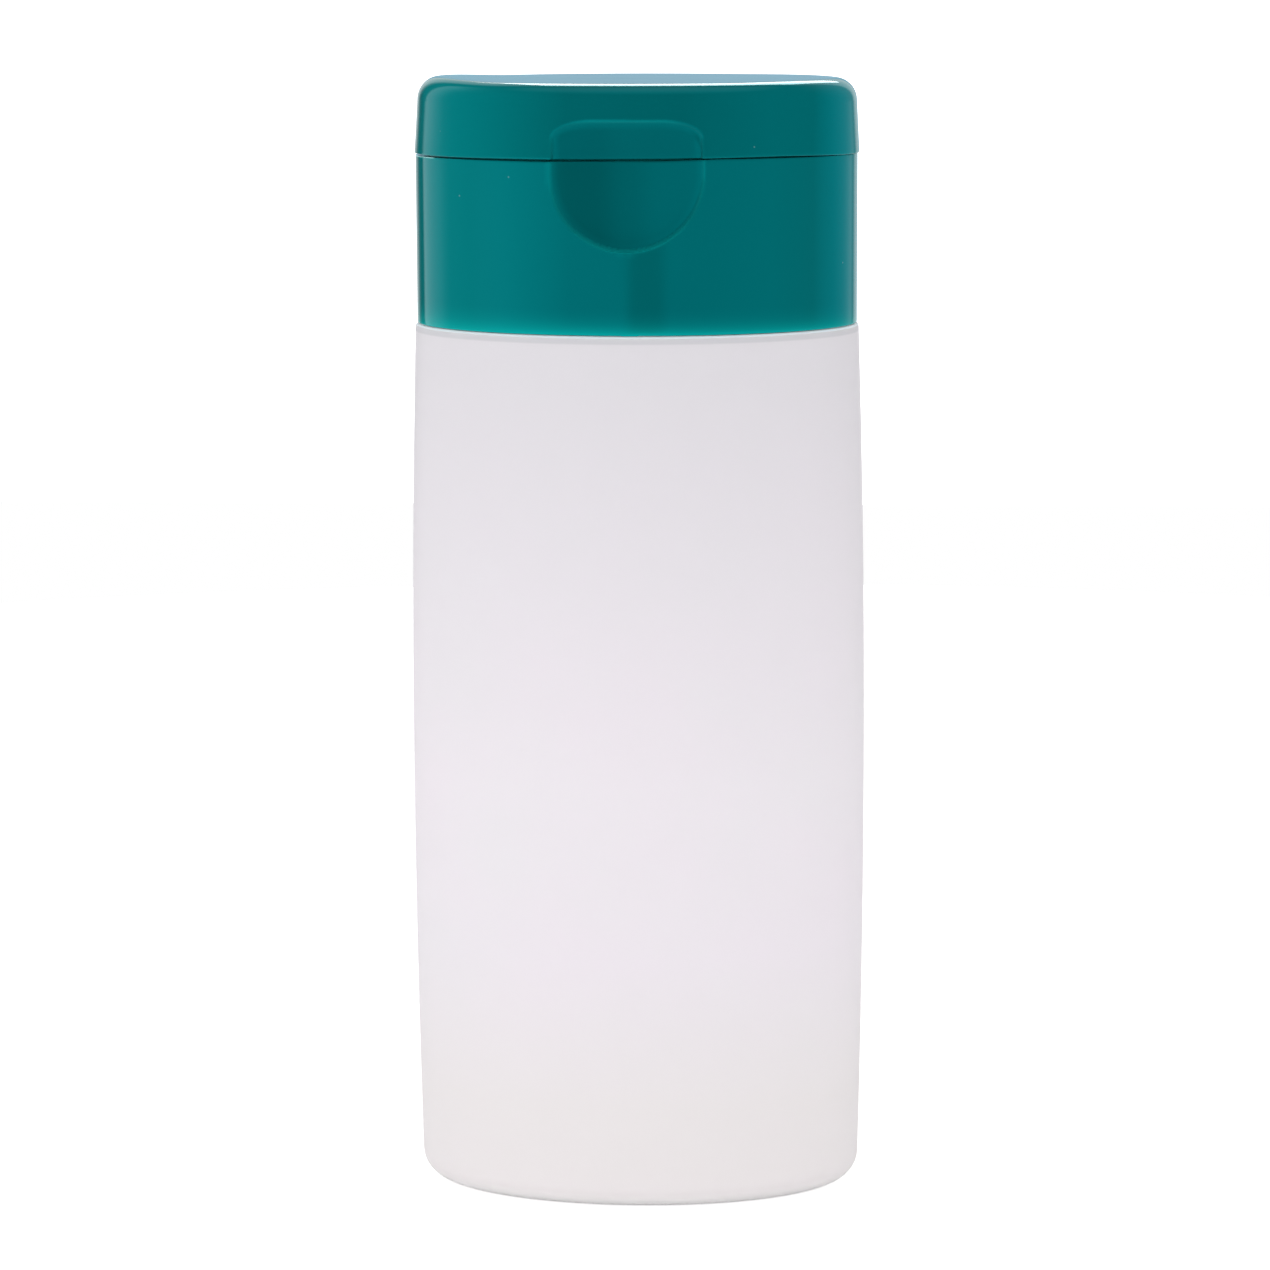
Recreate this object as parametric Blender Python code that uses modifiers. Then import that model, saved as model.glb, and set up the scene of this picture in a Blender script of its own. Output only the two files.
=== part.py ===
"""An oval travel bottle with a screw-on flip-top cap, closed, standing on its base.

Metres, +Z up. Widths run along X and depths along Y, and the front, with the thumb recess, faces -Y.
The origin is under the middle of the bottle, on the surface that it stands on.
"""

import math

import bmesh
import bpy
from mathutils import Matrix, Vector

MM = 0.001

# Fineness of the faces
SIDES = 48
FILLET_STEPS = 4
RECESS_STEPS = 24
THREAD_POINTS_A_TURN = 24
SMOOTH_ANGLE = math.radians(35)
BEVEL_ANGLE = math.radians(60)
WELD_DISTANCE = 0.001 * MM

# Clearances between pieces
SEAT_GAP = 0.34 * MM
PARTING_GAP = 0.34 * MM
WASHER_GAP = 0.3 * MM
THREAD_GAP = 0.45 * MM
LID_FIT_GAP = 0.3 * MM
PIN_GAP = 0.45 * MM
HINGE_GAP = 0.3 * MM
OVERRUN = 0.6 * MM

# Body: a blown shell that is a little barrelled
BASE_WIDTH = 51.74 * MM
BELLY_WIDTH = 52.84 * MM
SHOULDER_WIDTH = 51.16 * MM
BELLY_DEPTH = 32.2 * MM
BELLY_HEIGHT = 50 * MM
BODY_HEIGHT = 102 * MM
HEEL_RADIUS = 3.2 * MM
SHOULDER_RADIUS = 1.1 * MM
BODY_WALL = 0.9 * MM
STAND_RING_WIDTH = 2.6 * MM
PUSH_UP_HEIGHT = 1.6 * MM
PUSH_UP_SHARES = (0.45, 0.75, 0.92)
WALL_SHARES = (0, 0.35, 0.7)

# Neck and its screw thread. The neck is as wide as the cap's depth leaves room for.
NECK_WALL = 1.9 * MM
NECK_FILLET = 1 * MM
NECK_LIP_BEVEL = 0.4 * MM
THREAD_PITCH = 3.18 * MM
THREAD_BEAD_RADIUS = 0.9 * MM
THREAD_STAND_OUT = 1.1 * MM
THREAD_TURNS = 1.5
CAP_THREAD_TURNS = 1.25
THREAD_DROP = 3.2 * MM
THREAD_END_SHARE = 0.35
THREAD_FADE_STEPS = 2

# Sealing washer between the neck's rim and the cap's deck
WASHER_THICKNESS = 1.1 * MM
WASHER_BAND = 2.9 * MM
WASHER_BEVEL = 0.15 * MM

# Cap base: an oval skirt, a raised deck with the spout, and a threaded sleeve underneath
CAP_INSET = 0.22 * MM
CAP_BASE_HEIGHT = 19.5 * MM
CAP_WALL = 1.3 * MM
THICK_WALL = 2.77 * MM
CAP_EDGE = 0.3 * MM
DECK_RISE = 1 * MM
DECK_WALL = 1.34 * MM
SLEEVE_WALL = 1.2 * MM
SLEEVE_LIFT = 0.9 * MM
SLEEVE_FLAT_SHARE = 0.25
THICK_WALL_HEIGHT = 13.8 * MM
THICK_WALL_SLOPE = 1.6 * MM
SPOUT_FOOT_WIDTH = 10.4 * MM
SPOUT_WIDTH = 7.6 * MM
SPOUT_TIP_WIDTH = 6.4 * MM
SPOUT_HEIGHT = 3.6 * MM
SPOUT_EDGE = 0.35 * MM
ORIFICE_WIDTH = 3.8 * MM

# Flip lid
LID_HEIGHT = 8.12 * MM
LID_OVERHANG = 0.17 * MM
LID_DRAFT = 0.3 * MM
LID_WALL = 1.3 * MM
LID_TOP_RADIUS = 2.5 * MM
LID_EDGE = 0.15 * MM
PIN_REACH = 1.5 * MM
PIN_BEVEL = 0.3 * MM

# Thumb recess, across the parting line at the front
RECESS_WIDTH = 17.5 * MM
RECESS_CENTRE_DROP = 1.5 * MM
RECESS_RISE = 4.3 * MM
RECESS_CORNER = 2.3 * MM
RECESS_DEPTH_SHARE = 0.45

# Moulded hinge at the back: two films on the axis and a snap strap between them
HINGE_LAND_WIDTH = 24 * MM
HINGE_LAND_RISE = 3.1 * MM
HINGE_DEPTH_SHARE = 0.44
FILM_WIDTH = 3 * MM
FILM_OFFSET = 5.6 * MM
FILM_THICKNESS = 0.35 * MM
FILM_RISE = 1.8 * MM
STRAP_WIDTH = 4.4 * MM
STRAP_THICKNESS = 0.7 * MM
STRAP_RISE = 2.4 * MM
HINGE_BEVEL = 0.1 * MM

# Places that several pieces share
DEPTH_SHARE = BELLY_DEPTH / BELLY_WIDTH
CAP_BOTTOM = BODY_HEIGHT + SEAT_GAP
CAP_TOP = CAP_BOTTOM + CAP_BASE_HEIGHT
LID_BOTTOM = CAP_TOP + PARTING_GAP
LID_TOP = LID_BOTTOM + LID_HEIGHT
PARTING = (CAP_TOP + LID_BOTTOM) / 2
DECK_TOP = CAP_TOP + DECK_RISE
DECK_UNDERSIDE = DECK_TOP - DECK_WALL
WASHER_TOP = DECK_UNDERSIDE - WASHER_GAP
WASHER_BOTTOM = WASHER_TOP - WASHER_THICKNESS
NECK_TOP = WASHER_BOTTOM - WASHER_GAP
NECK_THREAD_LOW = NECK_TOP - THREAD_DROP - THREAD_PITCH * THREAD_TURNS
SPOUT_TIP = DECK_TOP + SPOUT_HEIGHT
LID_CEILING = LID_TOP - LID_WALL
CAP_HALF_WIDTH = SHOULDER_WIDTH / 2 - CAP_INSET
CAP_HALF_DEPTH = SHOULDER_WIDTH / 2 * DEPTH_SHARE - CAP_INSET
# Front and back, the cap's walls are thick behind the recess and the hinge, and flat inside. The sleeve runs
# into those flats, and the neck fits in the sleeve.
INNER_FLAT = CAP_HALF_DEPTH - THICK_WALL
SLEEVE_BORE = INNER_FLAT - SLEEVE_WALL * SLEEVE_FLAT_SHARE
SLEEVE_RADIUS = SLEEVE_BORE + SLEEVE_WALL
NECK_RADIUS = SLEEVE_BORE - THREAD_GAP - THREAD_STAND_OUT
RECESS_FLOOR = CAP_HALF_DEPTH - THICK_WALL * RECESS_DEPTH_SHARE
HINGE_LAND = CAP_HALF_DEPTH - THICK_WALL * HINGE_DEPTH_SHARE
HINGE_AXIS = Vector((0, HINGE_LAND + HINGE_GAP + FILM_THICKNESS / 2, PARTING))


def clear_scene():
    for obj in list(bpy.data.objects):
        bpy.data.objects.remove(obj, do_unlink=True)
    for collection in list(bpy.data.collections):
        bpy.data.collections.remove(collection)


def new_collection(name):
    collection = bpy.data.collections.new(name)
    bpy.context.scene.collection.children.link(collection)
    return collection


def plastic(name, colour, roughness, transmission=0.0):
    material = bpy.data.materials.new(name)
    material.use_nodes = True
    shader = material.node_tree.nodes["Principled BSDF"]
    shader.inputs["Base Color"].default_value = (*colour, 1)
    shader.inputs["Roughness"].default_value = roughness
    shader.inputs["Metallic"].default_value = 0
    shader.inputs["Transmission Weight"].default_value = transmission
    return material


def add_object(name, mesh, collection, material=None):
    obj = bpy.data.objects.new(name, mesh)
    collection.objects.link(obj)
    if material:
        mesh.materials.append(material)
    return obj


def make_tool(obj):
    """A shape that only cuts or joins others."""
    obj.hide_render = True
    obj.display_type = "WIRE"
    return obj


def smooth(obj):
    obj.data.shade_smooth()
    obj.data.set_sharp_from_angle(angle=SMOOTH_ANGLE)


def move_origin(obj, point):
    obj.data.transform(Matrix.Translation(-point))
    obj.location = point


def boolean(obj, tool, operation):
    modifier = obj.modifiers.new(f"{operation.lower()}_{tool.name}", "BOOLEAN")
    modifier.object = tool
    modifier.operation = operation
    modifier.solver = "EXACT"


def bevel(obj, width, segments=2):
    modifier = obj.modifiers.new("bevel", "BEVEL")
    modifier.width = width
    modifier.segments = segments
    modifier.limit_method = "ANGLE"
    modifier.angle_limit = BEVEL_ANGLE


def oval(half_width, half_depth, height, flat=None):
    """A level section, anticlockwise from +X. flat is the half-depth where its front and back are cut flat."""
    limit = half_depth if flat is None else min(flat, half_depth)
    points = []
    for step in range(SIDES):
        angle = math.tau * step / SIDES
        y = max(-limit, min(limit, half_depth * math.sin(angle)))
        points.append(Vector((half_width * math.cos(angle), y, height)))
    return points


def circle(radius, height):
    return oval(radius, radius, height)


def middle(height):
    """A section shrunk to one point on the axis."""
    return [Vector((0, 0, height))]


def fillet(radius, start, end):
    """Points of an arc about its own centre, as offsets outwards and up, from one angle to another in degrees."""
    for step in range(FILLET_STEPS + 1):
        angle = math.radians(start + (end - start) * step / FILLET_STEPS)
        yield radius * math.cos(angle), radius * math.sin(angle)


def loft(sections, ring=False):
    """A skin through sections of SIDES points, or one point, listed up the outside and down the inside.

    With ring, the last section also joins the first.
    """
    mesh = bpy.data.meshes.new("loft")
    bm = bmesh.new()
    rows = [[bm.verts.new(point) for point in section] for section in sections]
    pairs = list(zip(rows, rows[1:]))
    if ring:
        pairs.append((rows[-1], rows[0]))
    for low, high in pairs:
        for i in range(SIDES):
            j = (i + 1) % SIDES
            corners = [low[i % len(low)], low[j % len(low)], high[j % len(high)], high[i % len(high)]]
            bm.faces.new(list(dict.fromkeys(corners)))
    bm.to_mesh(mesh)
    bm.free()
    return mesh


def turned(name, profile, collection):
    """A closed profile of radii and heights, swept round the Z axis. It runs down its outer side."""
    mesh = bpy.data.meshes.new(name)
    bm = bmesh.new()
    verts = [bm.verts.new((radius, 0, height)) for radius, height in profile]
    for i, vert in enumerate(verts):
        bm.edges.new((vert, verts[(i + 1) % len(verts)]))
    bm.to_mesh(mesh)
    bm.free()
    obj = add_object(name, mesh, collection)
    screw = obj.modifiers.new("turn", "SCREW")
    screw.steps = SIDES
    screw.render_steps = SIDES
    screw.use_merge_vertices = True
    screw.merge_threshold = WELD_DISTANCE
    screw.use_smooth_shade = True
    return obj


def mesh_of(obj):
    """The curve object's shape as a welded mesh in its place. The curve is removed."""
    bpy.context.view_layer.update()
    evaluated = obj.evaluated_get(bpy.context.evaluated_depsgraph_get())
    mesh = bpy.data.meshes.new_from_object(evaluated)
    bm = bmesh.new()
    bm.from_mesh(mesh)
    bmesh.ops.remove_doubles(bm, verts=bm.verts, dist=WELD_DISTANCE)
    bmesh.ops.recalc_face_normals(bm, faces=bm.faces)
    bm.to_mesh(mesh)
    bm.free()
    name, place, collection = obj.name, obj.matrix_world.copy(), obj.users_collection[0]
    bpy.data.objects.remove(obj, do_unlink=True)
    made = add_object(name, mesh, collection)
    made.matrix_world = place
    return made


def thread_bead(name, radius, height, turns, collection):
    """A bead along a right-handed helix from this height up, thinner at both ends."""
    curve = bpy.data.curves.new(name, "CURVE")
    curve.dimensions = "3D"
    curve.bevel_depth = THREAD_BEAD_RADIUS
    curve.bevel_resolution = 2
    curve.use_fill_caps = True
    spline = curve.splines.new("POLY")
    steps = round(turns * THREAD_POINTS_A_TURN)
    spline.points.add(steps)
    for i, point in enumerate(spline.points):
        angle = math.tau * turns * i / steps
        rise = THREAD_PITCH * turns * i / steps
        point.co = (radius * math.cos(angle), radius * math.sin(angle), height + rise, 1)
        full = min(i / THREAD_FADE_STEPS, (steps - i) / THREAD_FADE_STEPS, 1)
        point.radius = THREAD_END_SHARE + (1 - THREAD_END_SHARE) * full
    obj = bpy.data.objects.new(name, curve)
    collection.objects.link(obj)
    return make_tool(mesh_of(obj))


def box(name, low, high, collection, material=None):
    low, high = Vector(low), Vector(high)
    mesh = bpy.data.meshes.new(name)
    bm = bmesh.new()
    bmesh.ops.create_cube(bm, size=1)
    bmesh.ops.scale(bm, vec=high - low, verts=bm.verts)
    bmesh.ops.translate(bm, vec=(low + high) / 2, verts=bm.verts)
    bm.to_mesh(mesh)
    bm.free()
    return add_object(name, mesh, collection, material)


def body_half_width(height):
    """Half the body's width at a height: widest at the belly, drawn in smoothly to the heel and the shoulder."""
    if height < BELLY_HEIGHT:
        share = (BELLY_HEIGHT - height) / (BELLY_HEIGHT - HEEL_RADIUS)
        return (BELLY_WIDTH - (BELLY_WIDTH - BASE_WIDTH) * share**2) / 2
    share = (height - BELLY_HEIGHT) / (BODY_HEIGHT - SHOULDER_RADIUS - BELLY_HEIGHT)
    return (BELLY_WIDTH - (BELLY_WIDTH - SHOULDER_WIDTH) * share**2) / 2


def body_section(height, inset=0.0, level=None):
    """The body's section at a height, drawn in by an inset, and placed at another level if one is given."""
    half_width = body_half_width(height)
    return oval(half_width - inset, half_width * DEPTH_SHARE - inset, height if level is None else level)


def body_sections():
    """The outside of the bottle, from the middle of its base to the neck's rim."""
    ring_inset = HEEL_RADIUS + STAND_RING_WIDTH
    dome_half_width = BASE_WIDTH / 2 - ring_inset
    dome_half_depth = BASE_WIDTH / 2 * DEPTH_SHARE - ring_inset
    yield middle(PUSH_UP_HEIGHT)
    for share in PUSH_UP_SHARES:
        rise = PUSH_UP_HEIGHT * (1 - share**2)
        yield oval(dome_half_width * share, dome_half_depth * share, rise)
    yield body_section(HEEL_RADIUS, ring_inset, 0)
    for out, up in fillet(HEEL_RADIUS, -90, 0):
        yield body_section(HEEL_RADIUS, HEEL_RADIUS - out, HEEL_RADIUS + up)
    for share in WALL_SHARES[1:]:
        yield body_section(HEEL_RADIUS + (BELLY_HEIGHT - HEEL_RADIUS) * share)
    shoulder = BODY_HEIGHT - SHOULDER_RADIUS
    for share in WALL_SHARES:
        yield body_section(BELLY_HEIGHT + (shoulder - BELLY_HEIGHT) * share)
    for out, up in fillet(SHOULDER_RADIUS, 0, 90):
        yield body_section(shoulder, SHOULDER_RADIUS - out, shoulder + up)
    for out, up in fillet(NECK_FILLET, 270, 180):
        yield circle(NECK_RADIUS + NECK_FILLET + out, BODY_HEIGHT + NECK_FILLET + up)
    yield circle(NECK_RADIUS, NECK_TOP)


def make_bottle(parts, tools, material):
    bottle = add_object("bottle", loft(list(body_sections())), parts, material)
    smooth(bottle)
    walls = bottle.vertex_groups.new(name="wall")
    for vert in bottle.data.vertices:
        in_neck = vert.co.z > BODY_HEIGHT
        walls.add([vert.index], 1 if in_neck else BODY_WALL / NECK_WALL, "REPLACE")
    shell = bottle.modifiers.new("shell", "SOLIDIFY")
    shell.thickness = NECK_WALL
    shell.offset = -1
    shell.use_even_offset = True
    shell.vertex_group = walls.name
    bevel(bottle, NECK_LIP_BEVEL)
    centre = NECK_RADIUS + THREAD_STAND_OUT - THREAD_BEAD_RADIUS
    bead = thread_bead("neck_thread", centre, NECK_THREAD_LOW, THREAD_TURNS, tools)
    boolean(bottle, bead, "UNION")


def make_washer(parts, material):
    outer = SLEEVE_BORE - THREAD_GAP
    inner = outer - WASHER_BAND
    profile = [(outer, WASHER_TOP), (outer, WASHER_BOTTOM), (inner, WASHER_BOTTOM), (inner, WASHER_TOP)]
    washer = turned("sealing_washer", profile, parts)
    washer.data.materials.append(material)
    bevel(washer, WASHER_BEVEL, segments=1)


def cap_base_sections():
    """Up the outside of the skirt, over the deck and the spout, down its hole, and down the inside."""
    wide, deep = CAP_HALF_WIDTH, CAP_HALF_DEPTH
    for out, up in fillet(CAP_EDGE, -90, 0):
        yield oval(wide - CAP_EDGE + out, deep - CAP_EDGE + out, CAP_BOTTOM + CAP_EDGE + up)
    for out, up in fillet(CAP_EDGE, 0, 90):
        yield oval(wide - CAP_EDGE + out, deep - CAP_EDGE + out, CAP_TOP - CAP_EDGE + up)
    step = LID_WALL + LID_FIT_GAP
    step_flat = INNER_FLAT - LID_FIT_GAP
    yield oval(wide - step, deep - step, CAP_TOP, step_flat)
    yield oval(wide - step, deep - step, DECK_TOP - CAP_EDGE, step_flat)
    yield oval(wide - step - CAP_EDGE, deep - step - CAP_EDGE, DECK_TOP, step_flat - CAP_EDGE)
    yield circle(SPOUT_FOOT_WIDTH / 2, DECK_TOP)
    foot = (SPOUT_FOOT_WIDTH - SPOUT_WIDTH) / 2
    for out, up in list(fillet(foot, 270, 180))[1:]:
        yield circle(SPOUT_FOOT_WIDTH / 2 + out, DECK_TOP + foot + up)
    yield circle(SPOUT_TIP_WIDTH / 2, SPOUT_TIP - SPOUT_EDGE)
    yield circle(SPOUT_TIP_WIDTH / 2 - SPOUT_EDGE, SPOUT_TIP)
    yield circle(ORIFICE_WIDTH / 2, SPOUT_TIP)
    yield circle(ORIFICE_WIDTH / 2, DECK_UNDERSIDE)
    wide, deep = CAP_HALF_WIDTH - CAP_WALL, CAP_HALF_DEPTH - CAP_WALL
    thick_low = CAP_TOP - THICK_WALL_HEIGHT
    yield oval(wide, deep, DECK_UNDERSIDE, INNER_FLAT)
    yield oval(wide, deep, thick_low, INNER_FLAT)
    yield oval(wide, deep, thick_low - THICK_WALL_SLOPE)
    yield oval(wide, deep, CAP_BOTTOM)


def make_cap_base(parts, tools, recess, land, material):
    base = add_object("cap_base", loft(list(cap_base_sections()), ring=True), parts, material)
    smooth(base)
    # The sleeve ends inside the deck, below the ledge that the lid closes on.
    top = (DECK_UNDERSIDE + CAP_TOP) / 2
    low = CAP_BOTTOM + SLEEVE_LIFT
    profile = [(SLEEVE_RADIUS, top), (SLEEVE_RADIUS, low), (SLEEVE_BORE, low), (SLEEVE_BORE, top)]
    boolean(base, make_tool(turned("sleeve", profile, tools)), "UNION")
    # The cap's bead lies half a pitch under the neck's, and stands on the sleeve's bore.
    height = NECK_THREAD_LOW - THREAD_PITCH / 2
    bead = thread_bead("cap_thread", SLEEVE_BORE, height, CAP_THREAD_TURNS, tools)
    boolean(base, bead, "UNION")
    boolean(base, recess, "DIFFERENCE")
    boolean(base, land, "DIFFERENCE")


def lid_sections():
    """From the middle of the ceiling down the inside, and up the outside to the middle of the top."""
    wide = CAP_HALF_WIDTH + LID_OVERHANG
    deep = CAP_HALF_DEPTH + LID_OVERHANG
    inner_radius = LID_TOP_RADIUS - LID_WALL
    inner_wide = CAP_HALF_WIDTH - LID_WALL
    inner_deep = CAP_HALF_DEPTH - LID_WALL
    yield middle(LID_CEILING)
    for out, up in fillet(inner_radius, 90, 0):
        inset = inner_radius - out
        flat = INNER_FLAT - inset
        yield oval(inner_wide - inset, inner_deep - inset, LID_CEILING - inner_radius + up, flat)
    yield oval(inner_wide, inner_deep, LID_BOTTOM, INNER_FLAT)
    yield oval(wide - LID_EDGE, deep - LID_EDGE, LID_BOTTOM)
    yield oval(wide, deep, LID_BOTTOM + LID_EDGE)
    for out, up in fillet(LID_TOP_RADIUS, 0, 90):
        inset = LID_DRAFT + LID_TOP_RADIUS - out
        yield oval(wide - inset, deep - inset, LID_TOP - LID_TOP_RADIUS + up)
    yield middle(LID_TOP)


def make_sealing_pin(tools):
    """The lid's pin, from inside its ceiling down into the spout's hole."""
    radius = ORIFICE_WIDTH / 2 - PIN_GAP
    low = SPOUT_TIP - PIN_REACH
    high = LID_CEILING + OVERRUN
    mesh = bpy.data.meshes.new("sealing_pin")
    bm = bmesh.new()
    bmesh.ops.create_cone(
        bm, cap_ends=True, segments=SIDES // 2, radius1=radius, radius2=radius, depth=high - low
    )
    bmesh.ops.translate(bm, vec=(0, 0, (high + low) / 2), verts=bm.verts)
    bm.to_mesh(mesh)
    bm.free()
    pin = make_tool(add_object("sealing_pin", mesh, tools))
    bevel(pin, PIN_BEVEL)
    return pin


def make_lid(parts, tools, recess, land, material):
    lid = add_object("flip_lid", loft(list(lid_sections())), parts, material)
    smooth(lid)
    boolean(lid, make_sealing_pin(tools), "UNION")
    boolean(lid, recess, "DIFFERENCE")
    boolean(lid, land, "DIFFERENCE")
    move_origin(lid, HINGE_AXIS)


def recess_outline():
    """Across and up from the parting line: half a circle below, rounded corners above."""
    radius = RECESS_WIDTH / 2
    centre = CAP_TOP - RECESS_CENTRE_DROP
    for step in range(RECESS_STEPS + 1):
        angle = math.pi + math.pi * step / RECESS_STEPS
        yield radius * math.cos(angle), centre + radius * math.sin(angle)
    corner = LID_BOTTOM + RECESS_RISE - RECESS_CORNER
    for side, start, end in ((1, 0, 90), (-1, 90, 180)):
        for out, up in fillet(RECESS_CORNER, start, end):
            yield side * (radius - RECESS_CORNER) + out, corner + up


def make_recess_cutter(tools):
    """The thumb recess: its outline drawn from the front, from its flat floor outwards."""
    front = CAP_HALF_DEPTH + LID_OVERHANG + OVERRUN
    curve = bpy.data.curves.new("thumb_recess", "CURVE")
    curve.dimensions = "2D"
    curve.fill_mode = "BOTH"
    curve.extrude = (front - RECESS_FLOOR) / 2
    spline = curve.splines.new("POLY")
    outline = list(recess_outline())
    spline.points.add(len(outline) - 1)
    for point, (x, z) in zip(spline.points, outline):
        point.co = (x, z, 0, 1)
    spline.use_cyclic_u = True
    obj = bpy.data.objects.new("thumb_recess", curve)
    tools.objects.link(obj)
    obj.rotation_euler = (math.pi / 2, 0, 0)
    obj.location = (0, -(front + RECESS_FLOOR) / 2, 0)
    return make_tool(mesh_of(obj))


def make_land_cutter(tools):
    """The flat at the back, across the parting line, that the hinge lies on."""
    half = HINGE_LAND_WIDTH / 2
    back = CAP_HALF_DEPTH + LID_OVERHANG + OVERRUN
    low = (-half, HINGE_LAND, PARTING - HINGE_LAND_RISE)
    high = (half, back, PARTING + HINGE_LAND_RISE)
    return make_tool(box("hinge_land", low, high, tools))


def make_hinge(parts, material):
    """Thin webs that join the cap base to the lid, moulded in one with both on the real cap."""
    near = HINGE_LAND + HINGE_GAP
    webs = [("snap_strap", 0, STRAP_WIDTH, STRAP_THICKNESS, STRAP_RISE)]
    for name, side in (("hinge_film_left", -1), ("hinge_film_right", 1)):
        webs.append((name, side * FILM_OFFSET, FILM_WIDTH, FILM_THICKNESS, FILM_RISE))
    for name, place, width, thickness, rise in webs:
        low = (place - width / 2, near, PARTING - rise)
        high = (place + width / 2, near + thickness, PARTING + rise)
        web = box(name, low, high, parts, material)
        bevel(web, HINGE_BEVEL, segments=1)
        move_origin(web, HINGE_AXIS)


def main():
    clear_scene()
    parts = new_collection("travel_bottle")
    tools = new_collection("cutters")
    milky = plastic("milky_polyethylene", (0.82, 0.80, 0.82), 0.42, transmission=0.35)
    teal = plastic("teal_polypropylene", (0.0, 0.18, 0.19), 0.18)
    seal = plastic("white_foam", (0.85, 0.85, 0.84), 0.7)
    recess = make_recess_cutter(tools)
    land = make_land_cutter(tools)
    make_bottle(parts, tools, milky)
    make_washer(parts, seal)
    make_cap_base(parts, tools, recess, land, teal)
    make_lid(parts, tools, recess, land, teal)
    make_hinge(parts, teal)


main()
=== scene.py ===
"""The looks of an oval travel bottle with a screw-on flip-top cap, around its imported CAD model.

Metres, +Z up, in the CAD's frame: widths along X, depths along Y, the front with the thumb recess towards -Y.
"""

import math

import bpy
import numpy as np
from mathutils import Matrix, Vector


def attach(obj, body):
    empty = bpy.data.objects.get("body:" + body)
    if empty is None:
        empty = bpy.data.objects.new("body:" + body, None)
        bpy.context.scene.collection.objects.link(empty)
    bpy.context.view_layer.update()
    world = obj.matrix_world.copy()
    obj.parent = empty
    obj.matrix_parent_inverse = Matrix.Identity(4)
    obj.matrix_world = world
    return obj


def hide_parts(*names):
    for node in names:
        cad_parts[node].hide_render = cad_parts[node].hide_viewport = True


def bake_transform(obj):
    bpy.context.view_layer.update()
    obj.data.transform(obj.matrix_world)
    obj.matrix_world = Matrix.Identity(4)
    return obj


MM = 0.001

# Body: a blown shell that is a little barrelled
BASE_WIDTH = 51.9 * MM
BELLY_WIDTH = 53 * MM
SHOULDER_WIDTH = 51.32 * MM
BELLY_DEPTH = 32.2 * MM
BELLY_HEIGHT = 50 * MM
BODY_HEIGHT = 102.24 * MM
HEEL_RADIUS = 3.2 * MM
SHOULDER_RADIUS = 0.45 * MM
BODY_WALL = 0.9 * MM
STAND_RING_WIDTH = 2.6 * MM
STAND_RING_EDGE = 0.6 * MM
STAND_RING_LIFT = 0.02 * MM
PUSH_UP_HEIGHT = 1.6 * MM
PUSH_UP_POWER = 1.1
PUSH_UP_SHARES = (0.15, 0.3, 0.45, 0.6, 0.75, 0.86, 0.94)
DEPTH_SHARE = BELLY_DEPTH / BELLY_WIDTH

# Cap: its base, its lid and the parting between them
CAP_BOTTOM = 102.34 * MM
CAP_TOP = 121.84 * MM
LID_BOTTOM = 122.18 * MM
LID_TOP = 130.3 * MM
PARTING = (CAP_TOP + LID_BOTTOM) / 2
CAP_INSET = 0.22 * MM
CAP_HALF_WIDTH = SHOULDER_WIDTH / 2 - CAP_INSET
CAP_HALF_DEPTH = SHOULDER_WIDTH / 2 * DEPTH_SHARE - CAP_INSET
CAP_WALL = 1.3 * MM
THICK_WALL = 2.77 * MM
INNER_FLAT = CAP_HALF_DEPTH - THICK_WALL
INNER_FLAT_LOW = CAP_TOP - 13.8 * MM
INNER_OVAL_TOP = CAP_TOP - 15.4 * MM
CAP_LOW_EDGE = 0.14 * MM
CAP_LOW_DROP = 0.05 * MM
CAP_LOW_FADE = 1 * MM
CAP_TOP_EDGE = 0.09 * MM
CAP_TOP_FADE = 3 * MM
DECK_TOP = CAP_TOP + 1 * MM
DECK_UNDERSIDE = DECK_TOP - 1.34 * MM
DECK_EDGE = 0.3 * MM
FIT_GAP = 0.3 * MM
LID_OVERHANG = 0.17 * MM
LID_DRAFT = 0.3 * MM
LID_WALL = 1.3 * MM
LID_TOP_RADIUS = 2.5 * MM
LID_EDGE = 0.09 * MM
LID_SHIFT = 0.04 * MM
LID_TOP_LEAN = 0.0115
LID_TOP_DROP = 0.07 * MM
LID_LEFT_RISE = 0.31 * MM
LID_RIGHT_RISE = 0.08 * MM
LID_LEFT_DRAW = 0.14 * MM
LID_LEFT_RISE_SPAN = (0.6, 0.92)
LID_RIGHT_RISE_SPAN = (0.4, 0.8)
LID_LEFT_DRAW_SPAN = (0.8, 0.97)
LID_TOP_SHARES = (0.9, 0.7, 0.5, 0.3, 0.12)
SPOUT_FOOT_RADIUS = 5.2 * MM
SPOUT_RADIUS = 3.8 * MM
SPOUT_TIP_RADIUS = 3.2 * MM
SPOUT_TIP = DECK_TOP + 3.6 * MM
SPOUT_EDGE = 0.35 * MM
ORIFICE_RADIUS = 1.9 * MM
ORIFICE_EDGE = 0.15 * MM
PIN_RADIUS = 1.45 * MM
PIN_CENTRE = 0.0001 * MM
PIN_ROOT = 0.3 * MM
PIN_REACH = 1.5 * MM
PIN_TIP_EDGE = 0.5 * MM
PIN_TIP_BEVEL = (0.2 * MM, 0.12 * MM)
NUB_WIDTH = 1.9 * MM
NUB_EDGE = 0.15 * MM
NUB_DROP = 0.06 * MM

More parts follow.
